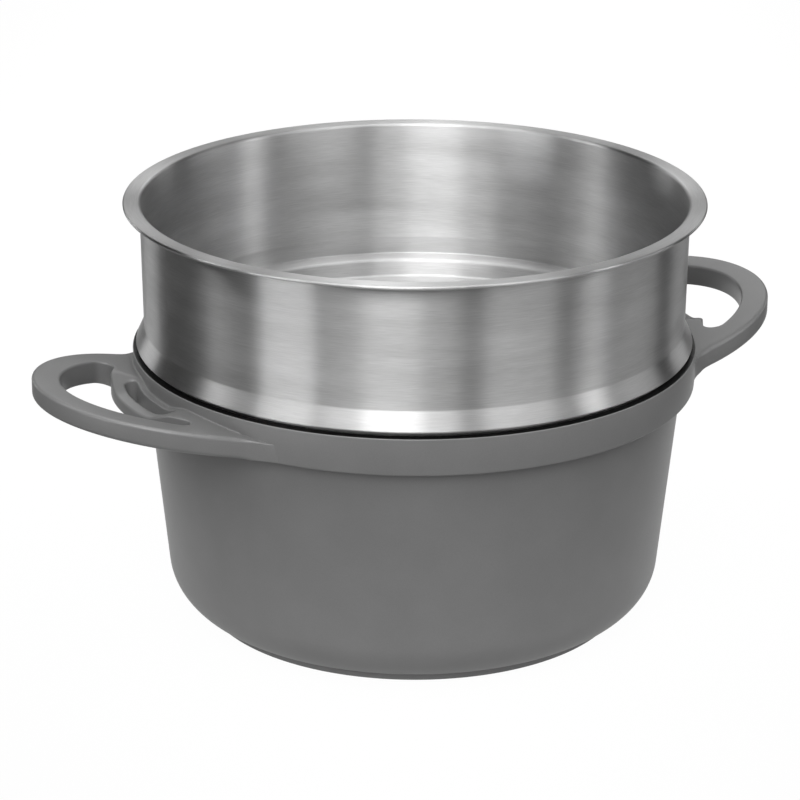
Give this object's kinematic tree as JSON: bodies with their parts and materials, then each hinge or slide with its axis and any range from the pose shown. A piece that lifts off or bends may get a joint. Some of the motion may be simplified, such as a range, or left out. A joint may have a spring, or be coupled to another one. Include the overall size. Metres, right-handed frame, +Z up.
{
  "type": "steamer pot",
  "caption": "Two-handled cast aluminium casserole with a stainless steel steamer insert standing on its rim, open at the top.",
  "frame": {"origin": "centre of the flat foot ring on the underside, on the pot's axis", "axes": "+Z up along the pot's axis, +X through one handle and -X through the other"},
  "size_m": [0.3608, 0.2582, 0.1909],
  "materials": {
    "casting": "satin grey coating outside, black non-stick coating inside",
    "insert_steel": "brushed",
    "plate_steel": "turned"
  },
  "bodies": {
    "pot": {"pot_casting": "casting", "induction_plate": "plate_steel"},
    "insert": {"steamer_insert": "insert_steel"}
  },
  "joints": [
    {"name": "insert_lift", "type": "slide", "parent": "pot", "child": "insert", "axis": [0, 0, 1], "range_m": [0, 0.12]}
  ]
}
